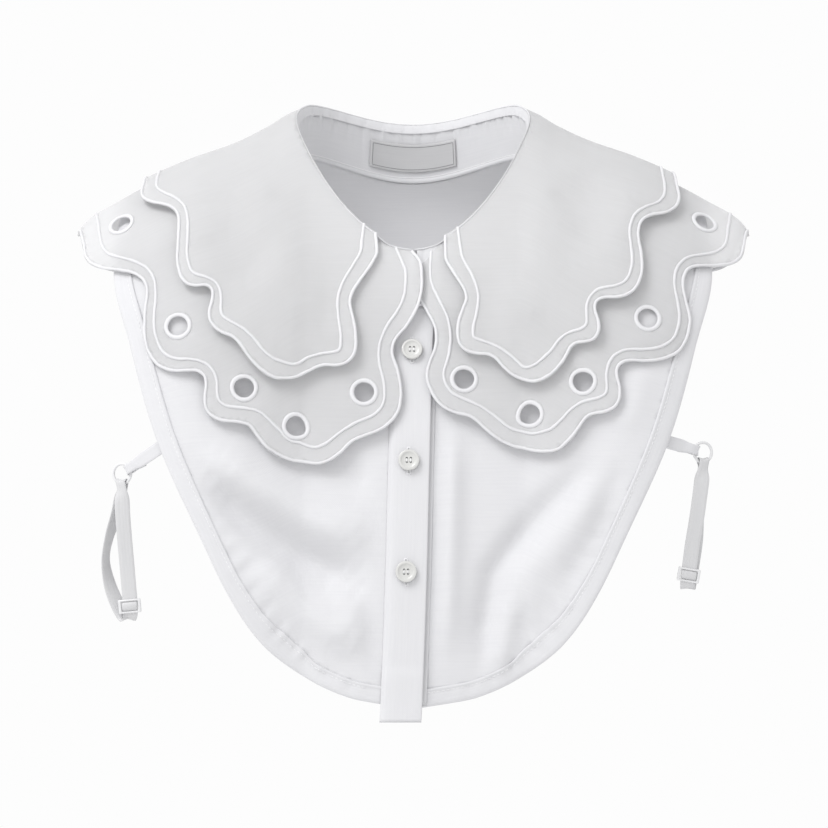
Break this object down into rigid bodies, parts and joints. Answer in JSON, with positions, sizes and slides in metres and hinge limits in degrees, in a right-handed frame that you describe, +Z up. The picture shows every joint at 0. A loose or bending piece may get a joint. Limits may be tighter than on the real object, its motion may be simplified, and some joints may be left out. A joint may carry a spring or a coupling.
{
  "type": "dickey",
  "caption": "Detachable shirt bib with a button placket, a tiered scalloped eyelet collar and elastic side straps, shaped as worn.",
  "frame": {"origin": "middle of the neck opening, at the height of the collar stand's seam at the back; the wearer's neck holds the garment there", "axes": "+Z up, -Y is the garment's front, +X is to the right seen from the front"},
  "size_m": [0.3701, 0.1977, 0.3348],
  "materials": {
    "poplin": "plain-woven cotton, pressed",
    "organza": "crisp sheer cloth with satin-stitched cords",
    "button_plastic": "glossy white resin",
    "elastic": "woven elastic, satin sheen",
    "coated_metal": "nylon-coated wire",
    "label_satin": "bare woven satin"
  },
  "bodies": {
    "root": {"front_left": "poplin", "front_right": "poplin", "back_panel": "poplin", "hem_front_left": "poplin", "hem_front_right": "poplin", "hem_back": "poplin", "placket": "poplin", "button_band": "poplin", "collar_stand": "poplin", "neck_label": "label_satin", "button_top": "button_plastic", "button_middle": "button_plastic", "button_bottom": "button_plastic", "lower_tier_left": "organza", "lower_tier_right": "organza", "upper_tier_left": "organza", "upper_tier_right": "organza", "strap_tab_left": "poplin", "ring_left": "coated_metal", "elastic_left": "elastic", "slider_left": "coated_metal", "strap_tab_right": "poplin", "ring_right": "coated_metal", "elastic_right": "elastic", "slider_right": "coated_metal"}
  },
  "joints": []
}
